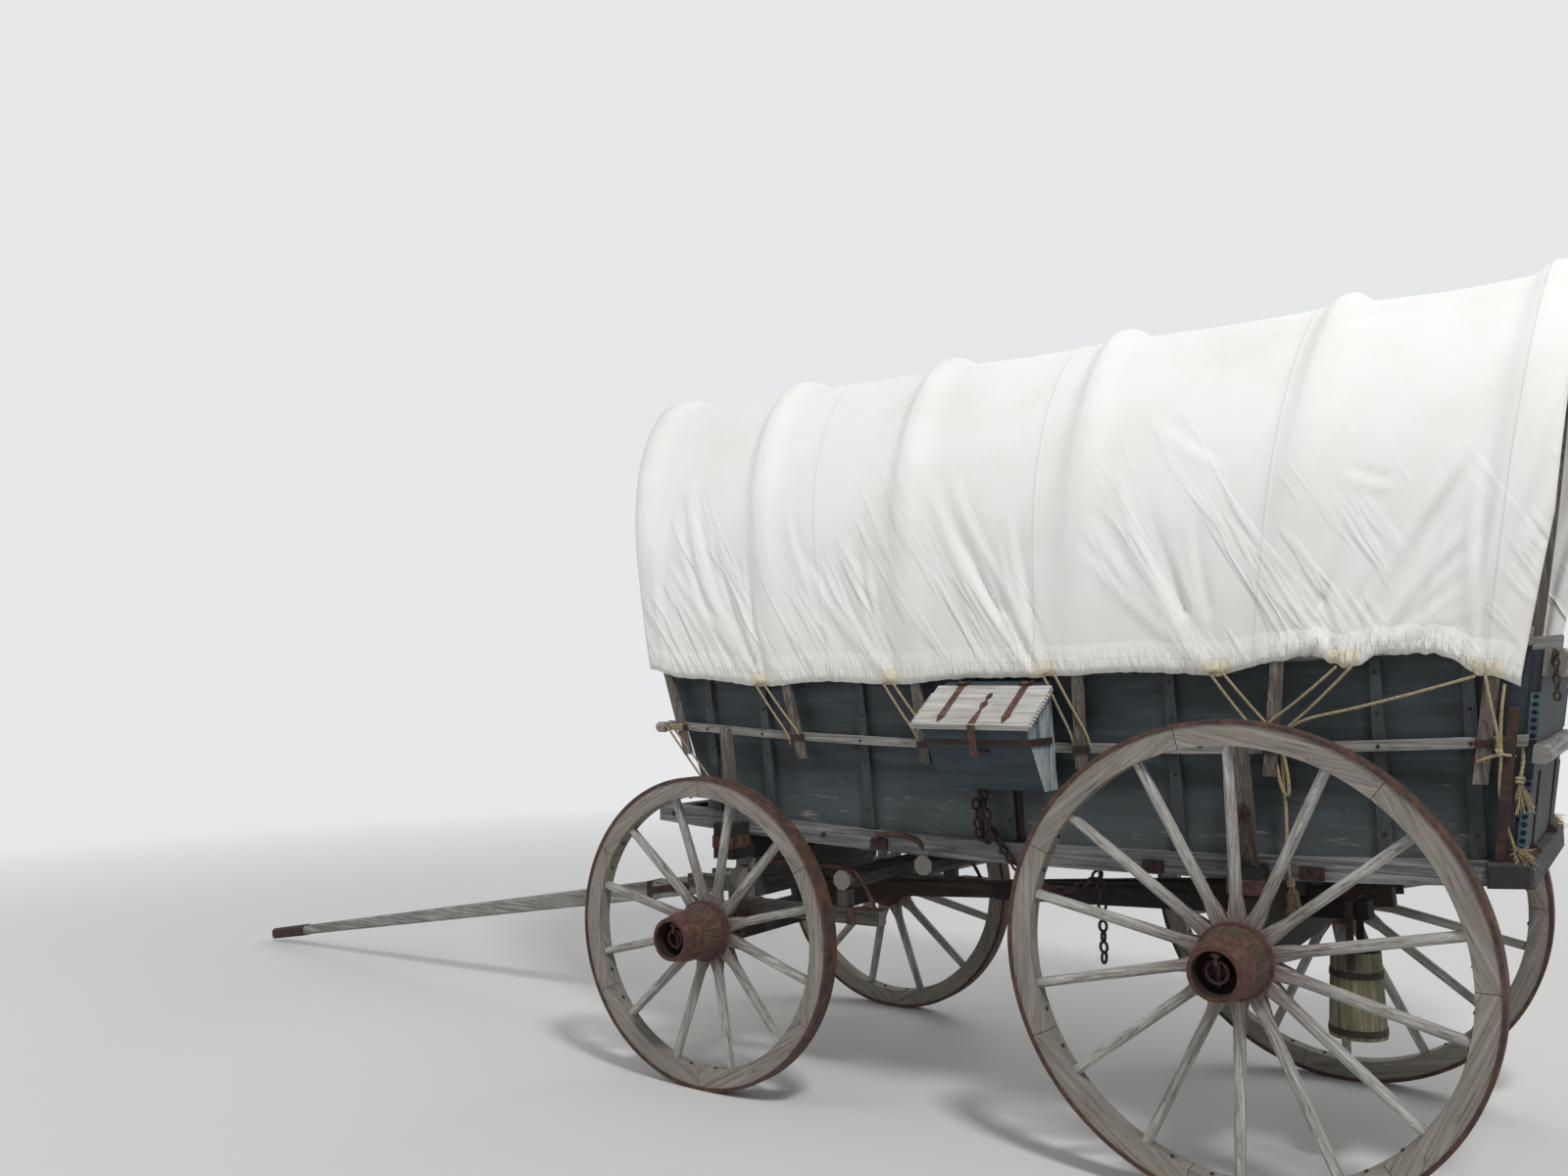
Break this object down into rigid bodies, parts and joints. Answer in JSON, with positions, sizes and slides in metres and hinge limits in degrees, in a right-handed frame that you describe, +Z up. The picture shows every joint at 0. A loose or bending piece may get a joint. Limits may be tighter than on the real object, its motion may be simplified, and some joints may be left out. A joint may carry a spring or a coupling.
{
  "type": "covered wagon",
  "caption": "Horse-drawn covered wagon: canvas on bent bows over a timber bed with leaning sides and a side toolbox, on dished spoked wheels with iron tyres, with a steering gear and a tongue.",
  "frame": {"origin": "on the ground, under the middle of the outline from the tongue's tip to the cover's rear edge, midway between the wheels", "axes": "+X forward towards the tongue, +Y to the wagon's left (the toolbox side), +Z up"},
  "size_m": [6.9702, 1.91, 2.9166],
  "materials": {
    "grey_wood": "dry weathered grey oak, open grain",
    "dark_wood": "old dark oil-stained wood",
    "brown_wood": "brown stained wood",
    "blue_paint": "matt blue-grey paint peeling off planks",
    "red_wood": "faded oxide-red paint on wood",
    "rusty_iron": "forged iron with dry brown rust",
    "canvas": "heavy cotton canvas, off-white, stained",
    "pale_wood": "pale sun-bleached wood",
    "rope": "laid manila rope, tan, fuzzy",
    "tar_wood": "tarred wooden staves"
  },
  "bodies": {
    "bed": {"bolster_stakes": "grey_wood", "bow_staples": "rusty_iron", "bows": "grey_wood", "bucket_strap": "rusty_iron", "corner_bars": "rusty_iron", "corner_rope": "rope", "cover": "canvas", "cross_sills": "dark_wood", "floor": "grey_wood", "front_bolster": "dark_wood", "front_gate": "blue_paint", "front_gate_bars": "grey_wood", "left_side_boards": "blue_paint", "lid_pins": "rusty_iron", "reach": "brown_wood", "rear_axle": "dark_wood", "rear_axle_arms": "rusty_iron", "rear_bolster": "dark_wood", "rear_end_sill": "grey_wood", "rear_gate_pins": "rusty_iron", "rear_hounds": "dark_wood", "right_side_boards": "blue_paint", "side_posts": "blue_paint", "side_rails": "grey_wood", "side_rope": "rope", "sills": "grey_wood", "tar_bucket": "tar_wood", "toolbox": "blue_paint", "under_bar": "grey_wood"},
    "front_gear": {"front_axle": "dark_wood", "front_axle_arms": "rusty_iron", "front_hounds": "grey_wood", "sand_board": "grey_wood", "sway_bar": "grey_wood", "sway_bar_risers": "grey_wood", "kingpin": "rusty_iron", "tongue_pin": "rusty_iron"},
    "tongue": {"tongue": "grey_wood", "tongue_cap": "rusty_iron"},
    "toolbox_lid": {"toolbox_lid": "pale_wood", "lid_hinges": "rusty_iron"},
    "rear_gate": {"rear_gate": "blue_paint", "rear_gate_bars": "grey_wood", "rear_gate_hinges": "rusty_iron"},
    "front_left_wheel": {"front_left_hub": "red_wood", "front_left_spokes": "grey_wood", "front_left_felloes": "grey_wood", "front_left_tire": "rusty_iron"},
    "front_right_wheel": {"front_right_hub": "red_wood", "front_right_spokes": "grey_wood", "front_right_felloes": "grey_wood", "front_right_tire": "rusty_iron"},
    "rear_left_wheel": {"rear_left_hub": "red_wood", "rear_left_spokes": "grey_wood", "rear_left_felloes": "grey_wood", "rear_left_tire": "rusty_iron"},
    "rear_right_wheel": {"rear_right_hub": "red_wood", "rear_right_spokes": "grey_wood", "rear_right_felloes": "grey_wood", "rear_right_tire": "rusty_iron"}
  },
  "joints": [
    {"name": "steering", "type": "hinge", "parent": "bed", "child": "front_gear", "pos_m": [-0.44828, 0, 0.6], "axis": [0, 0, 1], "range_deg": [-18, 18]},
    {"name": "tongue_pitch", "type": "hinge", "parent": "front_gear", "child": "tongue", "pos_m": [-0.05828, 0, 0.6678], "axis": [0, -1, 0], "range_deg": [0, 30]},
    {"name": "toolbox_lid_hinge", "type": "hinge", "parent": "bed", "child": "toolbox_lid", "pos_m": [-1.65328, 0.61837, 1.56927], "axis": [1, 0, 0], "range_deg": [0, 100]},
    {"name": "rear_gate_hinge", "type": "hinge", "parent": "bed", "child": "rear_gate", "pos_m": [-3.26875, 0, 1.07565], "axis": [0, -1, 0], "range_deg": [0, 90]},
    {"name": "front_left_wheel_spin", "type": "hinge", "parent": "front_gear", "child": "front_left_wheel", "pos_m": [-0.44828, 0.751, 0.602], "axis": [0, 1, 0], "continuous": true},
    {"name": "front_right_wheel_spin", "type": "hinge", "parent": "front_gear", "child": "front_right_wheel", "pos_m": [-0.44828, -0.751, 0.602], "axis": [0, 1, 0], "continuous": true},
    {"name": "rear_left_wheel_spin", "type": "hinge", "parent": "bed", "child": "rear_left_wheel", "pos_m": [-2.49828, 0.751, 0.73], "axis": [0, 1, 0], "continuous": true},
    {"name": "rear_right_wheel_spin", "type": "hinge", "parent": "bed", "child": "rear_right_wheel", "pos_m": [-2.49828, -0.751, 0.73], "axis": [0, 1, 0], "continuous": true}
  ]
}
